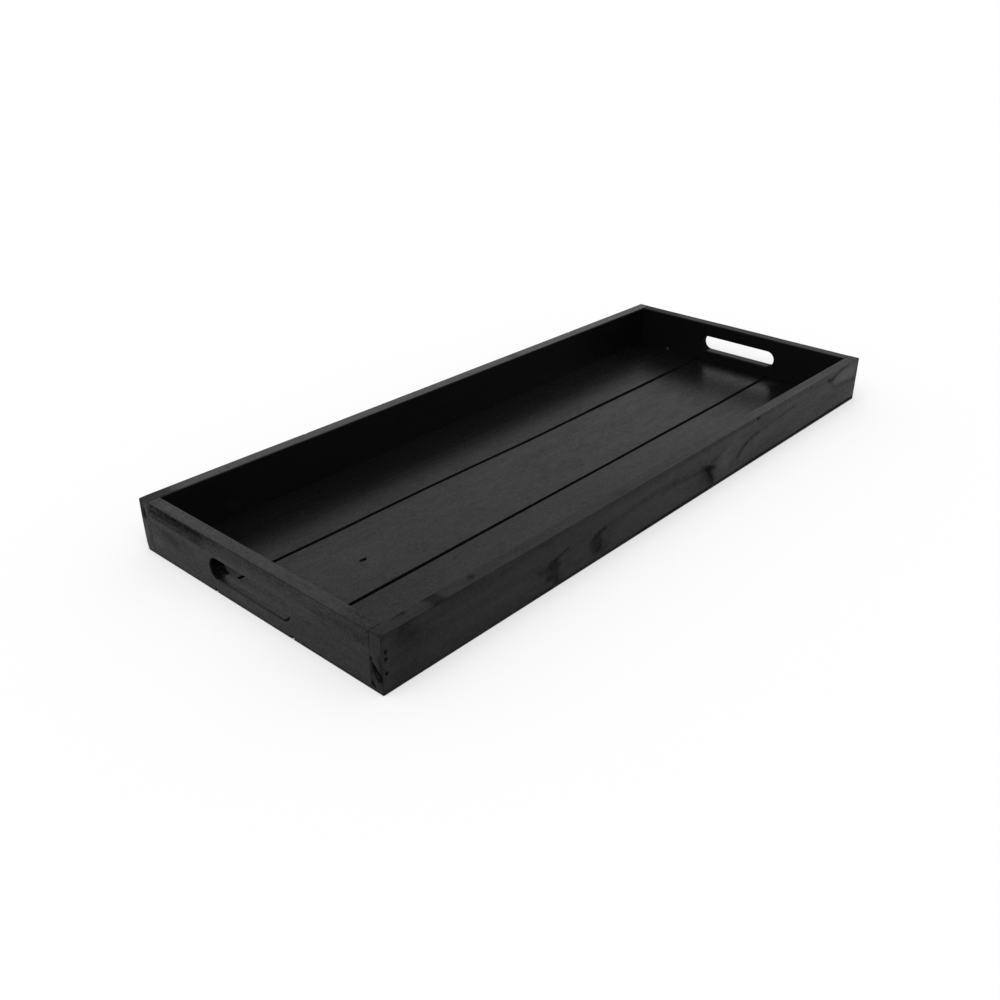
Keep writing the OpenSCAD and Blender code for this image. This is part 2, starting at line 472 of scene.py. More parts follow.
def stained_wood(name, turn, pith, tilt, ring_pitch, seed, gloss, roughness=0.3, figure=0.5, speckle=1.0):
    """Wood whose grain runs along X, or along another direction after a turn about Z, in radians.
    The pith lies at pith, across and up from the middle of the tray, in millimetres. Figure is how
    much the rings and streaks show, and speckle how much the short fibres do."""
    material = bpy.data.materials.new(name)
    tree = new_tree(material)
    here = add(tree, "TexCoord").outputs["Object"]
    place = add(tree, "Mapping", {
        "Vector": here, "Scale": (1 / MM,) * 3, "Rotation": (0, tilt, turn),
        "Location": (0, -pith[0], -pith[1]),
    }).outputs[0]

    wood = (tree, place, seed)
    late = late_wood(wood, ring_pitch)
    fibres = noise(wood, (26, 0.55, 0.55), detail=3, shift=7.0, rough=0.6)
    streaks = noise(wood, (90, 2.6, 2.6), shift=11.0)
    patches = noise(wood, (45, 14, 14), detail=3, shift=17.0)
    specks = noise(wood, (1.7, 1.5, 1.5), detail=3, shift=29.0, rough=0.65)
    mottle = noise(wood, (9, 5, 5), shift=31.0)
    pores = spread(tree, noise(wood, (5, 0.5, 0.5), detail=1, shift=23.0), PORE_FROM, PORE_FULL)
    stain = field(tree, "stain")

    dull = weigh(
        tree, DULL_SHARE, (late, LATE_DULL * figure, 0.5), (streaks, STREAK_DULL * figure, 0.5),
        (fibres, FIBRE_DULL * figure, 0.5), (patches, PATCH_DULL, 0.5), (mottle, MOTTLE_DULL * speckle, 0.5),
        (specks, SPECK_DULL * speckle, 0.5), (pores, PORE_DULL * figure, 0.0),
    )
    # marks below 0, painted shade among them, make the wood dull and dark
    dull = calc(tree, "SUBTRACT", dull, calc(tree, "MINIMUM", stain, 0.0), clamp=True)
    # marks above 0, painted highlights among them, make the wood paler
    pale = calc(tree, "MAXIMUM", stain, 0.0)
    tone = weigh(
        tree, STAIN_TONE, (pale, PALE_TONE, 0.0), (field(tree, "worn"), WORN_TONE, 0.0),
        (late, RING_TONE * figure, 0.0),
    )
    colour = grey(tree, tone)
    rough = weigh(tree, roughness, (streaks, ROUGH_SWING, 0.5), (patches, ROUGH_SWING, 0.5))

    grain_rise = GRAIN_RISE * figure
    relief = weigh(
        tree, 0.0, (late, grain_rise, 0.0), (fibres, grain_rise, 0.0), (streaks, grain_rise, 0.0),
        (specks, SPECK_RISE * speckle, 0.0), (pores, PORE_RISE * figure, 0.0),
    )
    bump = add(tree, "Bump", {"Height": relief, "Strength": 1.0, "Distance": MM}).outputs[0]

    satin = add(tree, "BsdfPrincipled", {"Base Color": colour, "Roughness": rough, "Normal": bump})
    satin.inputs["Specular IOR Level"].default_value = gloss
    dull_and_shade_colour = grey(tree, weigh(tree, DULL_TONE, (fibres, FIBRE_TONE, 0.5)))
    matt = add(tree, "BsdfPrincipled", {"Base Color": dull_and_shade_colour, "Roughness": DULL_ROUGH, "Normal": bump})
    matt.inputs["Specular IOR Level"].default_value = DULL_GLOSS
    to_output(tree, add(tree, "MixShader", {0: dull, 1: satin.outputs[0], 2: matt.outputs[0]}))
    return material


print("Where nothing is marked,", DULL_SHARE, "of the wood is dull")

# %% Seven cuts of wood
SLOT_FRAME, SLOT_FLOOR, SLOT_NAIL = "stained_frame_wood", "stained_floor_wood", "stained_nail_steel"
ACROSS = math.pi / 2

front_wood = stained_wood("front_board_wood", 0, (-110, 14), 0.03, 7.5, 1.0, gloss=0.18, speckle=1.6)
back_wood = stained_wood("back_board_wood", 0, (190, 40), -0.02, 6.0, 21.0, gloss=0.235)
left_wood = stained_wood("left_board_wood", ACROSS, (300, -20), 0.02, 5.0, 41.0, gloss=0.34, speckle=1.8)
right_wood = stained_wood("right_board_wood", ACROSS, (-300, 60), -0.02, 5.0, 61.0, gloss=0.115)
smooth = {"roughness": 0.27, "figure": 0.12, "speckle": 2.0}
front_plank_wood = stained_wood("front_plank_wood", 0, (-110, -50), 0.04, 6.0, 81.0, gloss=0.21, **smooth)
middle_plank_wood = stained_wood("middle_plank_wood", 0, (12, -40), 0.035, 6.0, 101.0, gloss=0.235, **smooth)
back_plank_wood = stained_wood("back_plank_wood", 0, (70, -60), -0.03, 6.0, 121.0, gloss=0.22, **smooth)
print("Seven boards, each cut from its own place in a tree")

# %% [markdown]
# ## Where the nails are
#
# Nail heads are punched a little below the surface, so the wood round each one needs a small pit.
# The places aren't typed in again: the CAD piece that holds the nails knows them. Points that lie
# close together, seen along the nails, belong to one nail.

# %% Find the nails
NAIL_SPAN = 3.0


def nail_places(node, axis):
    """The two coordinates across the axis at which the nails of a CAD piece lie."""
    across = [i for i in range(3) if i != axis]
    points = cad_points(node)[:, across]
    nails = []
    while len(points):
        mine = np.linalg.norm(points - points[0], axis=1) < NAIL_SPAN
        nails.append((points[mine].min(axis=0) + points[mine].max(axis=0)) / 2)
        points = points[~mine]
    return np.array(nails)


corner_nails, floor_nails = nail_places("corner_nails", 1), nail_places("floor_nails", 2)
print(len(corner_nails), "places in each side board, and", len(floor_nails), "in the floor")

# %% [markdown]
# ## Marks in the wood
#
# Knots, the dark flames round them, cracks and bare saw cuts are what makes one board different
# from the next. They are drawn on the mesh as marks, and so are painted shade and painted highlights.
# A mark is a line through a few points of one face, with a width and a strength, and it adds to the
# `stain` field. Most marks are soft, and a hard one keeps its strength up to its
# rim. A positive mark stands for wood that took less stain, or for a painted highlight, and a
# negative one for dull wood or painted shade.
# Round a knot the rings bend out, which is what the `rings` field does.

# %% Tools for marks
SOFT, HARD = 2, 6
ON_FACE = 0.01


def stroke(a, b, path, width, power=SOFT):
    """How much a line through the points of a path covers places a and b on a face, from 0 to 1."""
    nearest = np.full(a.shape, np.inf)
    for (a0, b0), (a1, b1) in zip(path[:-1] or path, path[1:] or path):
        run = np.array([a1 - a0, b1 - b0])
        along = np.clip(((a - a0) * run[0] + (b - b0) * run[1]) / max(run @ run, TINY), 0, 1)
        nearest = np.minimum(nearest, np.hypot(a - a0 - along * run[0], b - b0 - along * run[1]))
    return np.exp(-((nearest / width) ** power))


def faces_of(flat, low, high):
    """For each face of a block: which points lie on it, and their two places across it."""
    faces = {}
    for axis, titles in enumerate((("left", "right"), ("front", "back"), ("bottom", "top"))):
        a, b = (flat[:, other] for other in range(3) if other != axis)
        for title, edge in zip(titles, (low[axis], high[axis])):
            faces[title] = (np.abs(flat[:, axis] - edge) < ON_FACE, a, b)
    return faces


def marked(flat, low, high, marks):
    """The field of stain, painted shade and painted highlights of a block. A mark is (face, strength, width,
    path), and HARD may follow.
    """
    faces, stain = faces_of(flat, low, high), np.zeros(len(flat))
    for face, strength, width, path, *power in marks:
        here, a, b = faces[face]
        stain[here] += strength * stroke(a[here], b[here], path, width, *power)
    return stain


middle_and_rim = stroke(np.array([5.0, 5.0]), np.array([0.0, 2.0]), [(0, 0), (9, 0)], 2)
print("The middle and the rim of a stroke:", middle_and_rim)

# %% [markdown]
# ## The side boards
#
# Each side board runs the full length of the tray and covers the ends of the end boards. The long
# edges are planed round, and the sawn ends are only sanded. The front board is the showpiece: it
# has three knots with dark flames, a light stretch and a swirl after the last one, dents along its
# top and fine cracks on its near end.
#
# A board's skin is laid and eased first, and then pressed in where nails, knocks and wear have
# moved the wood. The marks are placed by the flat skin, so they don't shift when it is pressed.

# %% The skin of a board
BOARD_ROUND, SAWN_ROUND, PLANK_ROUND, JOINT_ROUND = 1.0, 0.5, 0.9, 0.12


def plain_board(node, pitches, spots, long_rounds, end_rounds):
    """The eased skin of a board along X: its corners, its points before and after easing, its quads.
    A long round is (radius, side across Y, side across Z), and the end rounds are the radii on the
    lower and the upper edge of the sawn ends."""
    low, high = wood_box(node)
    along, across = (SAWN_ROUND, *end_rounds), (SAWN_ROUND, *(radius for radius, *sides in long_rounds))
    up = [
        (end, *(radius for radius, y_side, z_side in long_rounds if z_side != away))
        for end, away in zip(end_rounds, (1, -1))
    ]
    points, quads = skin(
        lines(low[0], high[0], pitches[0], along, along, spots[0]),
        lines(low[1], high[1], pitches[1], across, across, spots[1]),
        lines(low[2], high[2], pitches[2], *up, spots[2]),
    )
    flat = points.copy()
    ease(points, low, high, (0, 1), SAWN_ROUND)
    for radius, side in zip(end_rounds, (-1, 1)):
        ease(points, low, high, (0, 2), radius, (0, side))
    for radius, *sides in long_rounds:
        ease(points, low, high, (1, 2), radius, sides)
    return low, high, flat, points, quads


print("Long edges are planed round by", BOARD_ROUND, "mm, and sawn ends are sanded by", SAWN_ROUND)

# %% Wear from hands, knocks and the plane
SAG, SAG_ZONE = 0.2, 2
RUB_REACH, RUB_MEAN, RUB_SWING = 1.2, 0.45, 0.4
WEAR_REACH = 7.0
CORNER_WEAR = [
    (0, 3.4), (1.2, 3.1), (2.5, 2.4), (6, 1.2), (10, 1.1),
    (15, 0.7), (27.5, 0.1), (32, 0), (46, 0), (47.5, 0.5),
]


def wear_corner(flat, points, low, high):
    """Draws in the near back corner, which knocks have worn round towards the ground."""
    drawn = np.interp(flat[:, 2], *zip(*CORNER_WEAR))
    along, across = fading(flat[:, 0] - low[0], WEAR_REACH), fading(high[1] - flat[:, 1], WEAR_REACH)
    points[:, 1] -= along * across * drawn


def top_edge_wear(flat, low, high, axis, wavelength, seed):
    """Wear along the two top edges of a board, whose thickness lies along the axis."""
    inward = np.minimum(flat[:, axis] - low[axis], high[axis] - flat[:, axis])
    close = fading(high[2] - flat[:, 2], RUB_REACH) * fading(inward, RUB_REACH)
    return close * np.clip(RUB_MEAN + RUB_SWING * waver(flat[:, 1 - axis], wavelength, seed), 0, 1)


def sag_top(flat, points, high, axis, wavelength, seed):
    """Lowers the top of a board that runs along the axis, as uneven planing does, by up to SAG."""
    sag = SAG * (0.5 + 0.5 * waver(flat[:, axis], wavelength, seed))
    points[:, 2] -= sag * (flat[:, 2] > high[2] - SAG_ZONE)


print("Knocks took up to", max(drawn for height, drawn in CORNER_WEAR), "mm off the near back corner")

# %% Build a side board
PIT_REACH, PIT_DEPTH, PIT_FLAT, PIT_STEP = 2.1, 0.45, 0.72, 0.42
PIT_DARK, FILLED_SHARE = 1.6, 0.3
NAIL_PIT_SHADE, CRACK_SHADE = 0.8, 0.85
DENT_CELLS, DENT_DROP, DENT_TILT, DENT_SQUASH = 4, 4, 0.4, 0.8
KNOT_STEP, KNOT_SQUASH = 2.0, 1.4
SIDE_SAG_WAVE, SIDE_RUB_WAVE = 310, 60


def side_board(name, node, side, finish, pitches, dents=(), marks=(), knots=(), cracks=(), worn_corner=False):
    """A side board, on side -1 at the front or 1 at the back. Dents are (x, y, z, reach, depth),
    knots (x, z, reach, push) on the outer face, and cracks (depth, width, path) on the near end."""
    outer = "back" if side > 0 else "front"
    nail_spots = [(x, PIT_REACH, PIT_STEP) for x in np.unique(corner_nails[:, 0].round(1))]
    nail_rows = [(z, PIT_REACH, PIT_STEP) for z in np.unique(corner_nails[:, 1].round(1))]
    dent_spots = [(x, reach, reach / DENT_CELLS) for x, y, z, reach, depth in dents]
    knot_spots = [(x, reach, KNOT_STEP) for x, z, reach, push in knots]
    low, high, flat, points, quads = plain_board(
        node, pitches, (nail_spots + dent_spots + knot_spots, (), nail_rows),
        [(BOARD_ROUND, 0, 1), (JOINT_ROUND, 0, -1)], (JOINT_ROUND, SAWN_ROUND),
    )
    face = high[1] if side > 0 else low[1]
    marks = list(marks)
    for x, z in corner_nails:
        share = FILLED_SHARE if x > 0 else 1
        press(points, (x, face, z), (PIT_REACH,) * 3, (0, -side * PIT_DEPTH * share, 0), PIT_FLAT)
        # painted shade darkens each nail pit, less where the pit is filled
        marks.append((outer, -NAIL_PIT_SHADE * share, PIT_DARK, [(x, z)], HARD))
    for x, y, z, reach, depth in dents:
        push = np.array([0, ((low[1] + high[1]) / 2 - y) * DENT_TILT, min(high[2] - z, 0) - DENT_DROP])
        squashed = reach * DENT_SQUASH
        press(points, (x, y, z), (reach, squashed, squashed), push / np.linalg.norm(push) * depth)
    sag_top(flat, points, high, 0, SIDE_SAG_WAVE, 5 + side)
    near_end, across, up = faces_of(flat, low, high)["left"]
    for depth, width, path in cracks:
        points[:, 0] += near_end * depth * stroke(across, up, path, width)
        # painted shade darkens each crack
        marks.append(("left", -CRACK_SHADE, width, path))
    if worn_corner:
        wear_corner(flat, points, low, high)
    rings = np.zeros(len(flat))
    for x, z, reach, push in knots:
        run, rise = (flat[:, 0] - x) / reach, (flat[:, 2] - z) / reach * KNOT_SQUASH
        rings += push * np.exp(-run ** 2 - rise ** 2)
    make_piece(
        name, node, points, quads, finish, SLOT_FRAME, rings=rings, stain=marked(flat, low, high, marks),
        worn=top_edge_wear(flat, low, high, 1, SIDE_RUB_WAVE, 9 + side),
    )


print("Each side board has", len(corner_nails), "nails, and those at the far end are filled")

# %% The front side board
front_marks = [
    # the dark patch near the corner between paler wood, and the darker band under the top edge
    ("front", -0.32, 7.5, [(-331, 40), (-326, 36)]),
    ("front", 0.10, 5.0, [(-345, 8), (-345, 40)]),
    ("front", -0.22, 4.0, [(-331, 46), (-326, 46)]),
    ("front", -0.14, 6, [(-320, 34), (-308, 28)]),
    ("front", 0.07, 14, [(-300, 12), (-262, 18), (-205, 20)]),
    ("front", -0.16, 2.4, [(-290, 46), (-262, 44), (-222, 42.5), (-196, 45), (-175, 42)]),
    # the first knot: two dark lobes with a tail up to the right
    ("front", -0.26, 4.2, [(-189, 22), (-181, 21)]),
    ("front", -0.60, 5.2, [(-174, 22), (-169, 20)], 3),
    ("front", -0.54, 4.2, [(-178, 12), (-170, 11), (-168, 6)]),
    ("front", -0.45, 1.7, [(-171, 25), (-164, 27), (-155, 28.8)]),
    ("front", -0.14, 4.0, [(-150, 12), (-141, 10)]),
    # the second knot: a dark heart, with an open loop of darker rings to its right
    ("front", -0.46, 6.6, [(-121, 19), (-116, 14.5)], 3),
    ("front", -0.32, 2.3, [(-122, 23), (-116, 25), (-108, 27)]),
    ("front", -0.22, 1.6, [(-115, 26.5), (-114, 20), (-112, 13)]),
    ("front", -0.24, 3.8, [(-121, 10), (-108, 8.5), (-104, 9)]),
    ("front", -0.10, 7, [(-112, 18), (-98, 16)]),
    # the long line that runs from the second knot to the third
    ("front", -0.20, 2.6, [(-114, 26), (-100, 28), (-75, 29.5), (-41, 31), (-7, 30)]),
    ("front", -0.22, 4.0, [(-7, 29.5), (12, 27.5), (30, 26)]),
    # the third knot: a dark point, a broad arm downwards and a streak up to the right
    ("front", -0.34, 3.6, [(37, 26.5), (46, 24)]),
    ("front", -0.14, 8.0, [(20, 14), (48, 12)]),
    ("front", -0.26, 7.5, [(42, 21), (52, 17), (55, 9)], 3),
    ("front", -0.60, 2.8, [(46, 25), (54, 23.0), (61, 20.6)]),
    ("front", -0.46, 4.0, [(50, 19), (54, 14), (58, 8)]),
    ("front", -0.38, 2.2, [(52, 29), (62, 28.5)]),
    ("front", -0.22, 2.0, [(62, 29), (69, 31.5), (76, 34)]),
    # the pale stretch beyond it
    ("front", 0.30, 8, [(74, 24), (80, 16)]),
    ("front", 0.22, 7, [(84, 30), (98, 36)]),
    ("front", 0.10, 9, [(64, 12), (70, 22)]),
    # the swirl, and the thin line that leaves it
    ("front", -0.50, 2.2, [(100.8, 16.5), (103.3, 20), (108.3, 22.5), (114, 25.4)]),
    ("front", -0.40, 2.0, [(114, 25.4), (120, 27.5), (128, 29.6), (137, 30.4)]),
    ("front", -0.14, 3.2, [(104, 13), (106, 17)]),
    ("front", -0.15, 3.2, [(119, 24), (127, 22)]),
    ("front", -0.20, 1.6, [(135, 30), (155, 31.5), (180, 33), (210, 36)]),
    ("front", 0.14, 5, [(108, 15), (120, 21)]),
    ("front", 0.08, 5, [(135, 24), (170, 27)]),
    # a small dark notch under the top edge, painted shade along the rim beside it and a painted highlight
    # along the edge itself
    ("front", -0.55, 1.5, [(131, 46.2), (135, 45.4)]),
    ("front", -0.20, 2.0, [(-190, 45.3), (110, 45), (240, 44.5)]),
    ("front", 0.15, 1.0, [(-160, 47.5), (350, 47.5)]),
    ("top", 0.15, 1.0, [(-160, -144), (350, -144)]),
    ("front", -0.22, 3.0, [(240, 44), (290, 42.5)]),
    # the pale oval near the far end, between dark arcs
    ("front", 0.36, 5.0, [(300, 35.5), (318, 35), (334, 35)]),
    ("front", 0.22, 4, [(308, 41), (338, 40)]),
    # painted shade over the far half of the face
    ("front", -0.12, 16, [(150, 20), (350, 20)]),
    ("front", -0.55, 2.3, [(280, 41), (288, 38.8), (297, 43), (311, 45.5)]),
    ("front", -0.30, 1.8, [(314, 45.6), (326, 45.2)]),
    ("front", -0.30, 2.2, [(288, 33), (300, 29.5), (326, 27), (346, 25)]),
    # the lower rim, which gets darker towards the far end
    ("front", -0.20, 0.9, [(-200, 3.0), (350, 3.0)]),
    ("front", -0.30, 0.9, [(-60, 3.1), (350, 3.1)]),
    ("front", -0.30, 1.1, [(120, 3.1), (350, 3.2)]),
    ("front", -0.15, 1.1, [(230, 3.3), (350, 3.3)]),
    # across the top edge: a dark patch with clear sides, and small dark spots
    ("top", -0.55, 6.8, [(-295, -144), (-295, -132)], HARD),
    ("top", -0.5, 2.6, [(-259, -138), (-257, -137)]),
    ("top", -0.18, 3.0, [(-86, -139), (-76, -139)]),
    ("top", -0.14, 10, [(285, -138), (350, -138)]),
    # its inner edge has lost its gloss, and is darkest at a dent
    ("top", -0.3, 1.2, [(-350, -132), (350, -132)], HARD),
    ("back", -0.3, 1.2, [(-350, 47.5), (350, 47.5)], HARD),
    ("top", -0.45, 2.4, [(-328, -134.2), (-321, -134)]),
    # the end grain is paler at its top, and has dark specks beside its cracks
    ("left", 0.06, 7, [(-138, 32), (-138, 46)]),
    ("left", -0.25, 3.6, [(-135, 20), (-140, 14), (-142, 8)]),
    ("left", -0.6, 1.4, [(-133.4, 15.3)]),
    ("left", -0.6, 1.2, [(-140.6, 11.4), (-143, 11)]),
    ("left", -0.6, 1.4, [(-141.8, 31), (-142.5, 16)]),
    ("left", -0.4, 1.4, [(-134.0, 13), (-134.6, 4.5)]),
    ("left", -0.5, 0.6, [(-132.4, 47), (-132.2, 37)]),
]
front_dents = [
    (-326, -133.3, 47.5, 3.2, 0.5), (-321, -134.8, 47.5, 1.4, 0.5), (-258.6, -136.7, 47.5, 1.6, 0.5),
    (94.9, -139.4, 47.5, 1.6, 0.4), (131, -144, 46.0, 3.0, 0.6), (-112, -144, 47.0, 2.2, 0.35),
    (238, -144, 47.2, 2.4, 0.4), (-214, -132, 47.3, 2.0, 0.4), (-350, -144, 47.5, 5.0, 0.9),
]
front_knots = [(-167, 17, 16, 9), (-113, 17, 15, 7), (52, 22, 16, 9), (106, 15, 12, 6)]
near_cracks = [
    (0.7, 1.2, [(-133.2, 26.4), (-133.4, 25.6)]),
    (0.6, 1.2, [(-134.6, 22.5), (-136.6, 19.9)]),
    (0.8, 1.25, [(-136.6, 19.9), (-138.4, 17.8), (-140.4, 16.2), (-143.2, 13.2)]),
    (0.5, 0.8, [(-134.2, 19.5), (-137.4, 14.0), (-140.6, 10.2)]),
    (0.5, 0.9, [(-133.2, 7.1), (-133.9, 5.5), (-135.8, 4.0)]),
]
side_board(
    "front_board", "front_side_board", -1, front_wood, pitches=(3.2, 0.6, 1.1),
    dents=front_dents, marks=front_marks, knots=front_knots, cracks=near_cracks,
)

# %% The back side board
back_knots = [(-56, 28, 15, 8), (215, 16, 14, 7)]
back_dents = [
    (-180, 144, 47.2, 2.4, 0.4), (60, 132, 47.3, 2.0, 0.35),
    (205, 144, 47.0, 3.0, 0.5), (-40, 140, 47.5, 1.5, 0.3),
]
back_marks = [
    ("back", -0.4, 4.0, [(-60, 30), (-52, 26)]),
    ("back", -0.28, 2.2, [(-52, 26), (-20, 30), (60, 32), (150, 29)]),
    ("back", -0.28, 2.2, [(-60, 30), (-100, 22), (-190, 19)]),
    ("back", 0.12, 8, [(-30, 18), (40, 16)]),
    ("back", -0.4, 3.5, [(212, 14), (218, 18)]),
    ("back", -0.24, 2.0, [(218, 18), (260, 24), (320, 25)]),
    # dark streaks down the near end grain, and one pale fleck
    ("left", -0.45, 2.2, [(141.5, 45), (141.2, 32)]),
    ("left", -0.5, 1.5, [(138.4, 38), (137.7, 32)]),
    ("left", -0.35, 1.4, [(135.5, 24), (134.2, 19), (134.6, 12), (134.2, 8)]),
    ("left", -0.3, 5, [(138, 47), (138, 32)]),
    ("left", 0.25, 1.4, [(136.5, 41.5)]),
    # a pale fleck on the inner face, and a paler top with dark places
    ("front", 0.08, 2.5, [(-274, 17), (-268, 10)]),
    ("top", 0.45, 7, [(-318, 138), (350, 138)], HARD),
    ("top", -0.35, 8, [(-345, 138), (-327, 138)]),
    ("top", -0.6, 2.2, [(-270, 138)]),
    ("top", -0.55, 7, [(98, 138), (104, 138)]),
    # the worn corner's edge is dull
    ("left", -0.6, 0.9, [(144, 3), (144, 47)], HARD),
    ("back", -0.6, 0.9, [(-350, 3), (-350, 47)], HARD),
]
side_board(
    "back_board", "back_side_board", 1, back_wood, pitches=(3.5, 1.2, 1.8),
    dents=back_dents, marks=back_marks, knots=back_knots, worn_corner=True,
)

# %% [markdown]
# ## The end boards and their hand slots
#
# The feature that takes most skill is the hand slot: a long hole with half-round ends, cut by a
# router through the board, with both mouths rounded so that fingers don't feel an edge. The block
# of cells gets a square-ended hole first. Then two moves turn it into the real slot. In the
# direction away from the slot's middle line, the mouth is eased like any other edge. And round
# each end of that line, the square steps are drawn in until they are circles, strongest at the
# hole and fading out before the board's own edges.

# %% Find the slot
SLOT_ROUND, MOUTH_CLEAR = 1.2, 3.0


def slot_of(node):
    """Half the length, half the height and the height above the ground of a board's slot. On the
    board's flat face, the only CAD points that lie away from its outline are those of the mouth."""
    low, high = wood_box(node)
    points = cad_points(node)
    on_face = np.abs(points[:, 0] - low[0]) < ON_FACE
    inside = ((points > low + MOUTH_CLEAR) & (points < high - MOUTH_CLEAR))[:, 1:].all(axis=1)
    mouth = points[on_face & inside][:, 1:]
    half_length, half_height = (mouth.max(axis=0) - mouth.min(axis=0)) / 2 - SLOT_ROUND
    return half_length, half_height, (mouth[:, 1].max() + mouth[:, 1].min()) / 2


slot_sizes = [round(float(size), 2) for size in slot_of("left_end_board")]
print("Half the length, half the height and the rise of a slot are", slot_sizes, "mm")

# %% Round the slot
SLOT_FADE = 9.0


def round_slot(flat, points, low, high, aside, rise, half_length, half_height):
    """Turns a square hole into one with half-round ends and eased mouths. Returns how far each point
    lies from the slot's middle line, the longer of its ways along Y and Z."""
    line = np.clip(flat[:, 1], aside - half_length + half_height, aside + half_length - half_height)
    line = np.stack([line, np.full(len(flat), rise)], axis=1)
    away = flat[:, 1:] - line
    square, straight = np.abs(away).max(axis=1), np.linalg.norm(away, axis=1)
    middle_x, half_depth = (low[0] + high[0]) / 2, (high[0] - low[0]) / 2
    over_slot = np.maximum(half_height + SLOT_ROUND - square, 0)
    over_face = np.maximum(np.abs(flat[:, 0] - middle_x) - half_depth + SLOT_ROUND, 0) * (over_slot > 0)
    reach = np.hypot(over_slot, over_face)
    share = np.divide(np.maximum(over_slot, over_face), reach, out=np.ones_like(reach), where=reach > 0)
    eased = square + over_slot * (1 - share)
    points[:, 0] -= np.sign(flat[:, 0] - middle_x) * over_face * (1 - share)
    fade = np.clip((half_height + SLOT_FADE - square) / SLOT_FADE, 0, 1)
    wanted = eased / np.maximum(square, TINY) * straight * (1 - fade) + eased * fade
    points[:, 1:] = line + away / np.maximum(straight, TINY)[:, None] * wanted[:, None]
    return square


print("The mouths are round by", SLOT_ROUND, "mm, and the ends fade out over", SLOT_FADE, "mm")

# %% Build an end board
THROUGH_PITCH, LONG_PITCH, UP_PITCH, SLOT_PITCH = 1.1, 3, 1.2, 1.0
ROUND_INSET, ROUND_REACH, ROUND_STEP = 4, 5, 1.0
SPECK_REACH, SPECK_STEP = 1.5, 0.5
CUT_DULL, FLAT_CUT_DULL = 0.85, 0.07
CUT_SHARE, CUT_FADE, ROUND_FADE = 0.7, 0.5, 1.5
END_SAG_WAVE, END_RUB_WAVE = 190, 50


def end_board(name, node, finish, seed, by_hand, marks=(), specks=()):
    """An end board. By hand are the millimetres by which its slot lies to the back, lies higher and
    is longer than drawn, because each slot was cut by hand. Specks are places along Y that need a
    finer mesh."""
    low, high = wood_box(node)
    half_length, half_height, rise = slot_of(node)
    aside, rise, half_length = by_hand[0], rise + by_hand[1], half_length + by_hand[2] / 2
    foot, top, mouth = (JOINT_ROUND, SAWN_ROUND), (BOARD_ROUND, SAWN_ROUND), (SLOT_ROUND,)
    slot_low, slot_high = aside - half_length, aside + half_length
    round_ends = (slot_low + ROUND_INSET, slot_high - ROUND_INSET)
    y_spots = [(place, ROUND_REACH, ROUND_STEP) for place in round_ends]
    y_spots += [(place, SPECK_REACH, SPECK_STEP) for place in specks]
    xs = lines(low[0], high[0], THROUGH_PITCH, (*foot, *top, *mouth), (*foot, *top, *mouth))
    ys = np.unique(np.concatenate([
        lines(low[1], slot_low, LONG_PITCH, (SAWN_ROUND,), mouth, y_spots),
        lines(slot_low, slot_high, LONG_PITCH, spots=y_spots),
        lines(slot_high, high[1], LONG_PITCH, mouth, (SAWN_ROUND,), y_spots),
    ]).round(4))
    zs = np.unique(np.concatenate([
        lines(low[2], rise - half_height, UP_PITCH, foot, mouth),
        lines(rise - half_height, rise + half_height, SLOT_PITCH),
        lines(rise + half_height, high[2], UP_PITCH, mouth, top),
    ]).round(4))
    wood = np.ones((len(xs) - 1, len(ys) - 1, len(zs) - 1), bool)
    air_y = np.abs((ys[1:] + ys[:-1]) / 2 - aside) < half_length
    air_z = np.abs((zs[1:] + zs[:-1]) / 2 - rise) < half_height
    wood[:, air_y[:, None] & air_z] = False
    points, quads = skin(xs, ys, zs, wood)
    flat = points.copy()
    square = round_slot(flat, points, low, high, aside, rise, half_length, half_height)
    ease(points, low, high, (0, 1), SAWN_ROUND)
    ease(points, low, high, (1, 2), SAWN_ROUND)
    ease(points, low, high, (0, 2), BOARD_ROUND, (0, 1))
    ease(points, low, high, (0, 2), JOINT_ROUND, (0, -1))
    sag_top(flat, points, high, 1, END_SAG_WAVE, seed)
    past_end = np.clip((np.abs(flat[:, 1] - aside) - half_length + half_height) / ROUND_FADE, 0, 1)
    past_end = FLAT_CUT_DULL + (CUT_DULL - FLAT_CUT_DULL) * past_end
    cut = past_end * np.clip((half_height + CUT_SHARE * SLOT_ROUND - square) / CUT_FADE, 0, 1)
    make_piece(
        name, node, points, quads, finish, SLOT_FRAME, rings=np.zeros(len(flat)),
        stain=marked(flat, low, high, marks) - cut,
        worn=top_edge_wear(flat, low, high, 0, END_RUB_WAVE, seed + 2),
    )


print("The cut wall of a slot is dull by", FLAT_CUT_DULL, "along the grain and by", CUT_DULL, "at its ends")

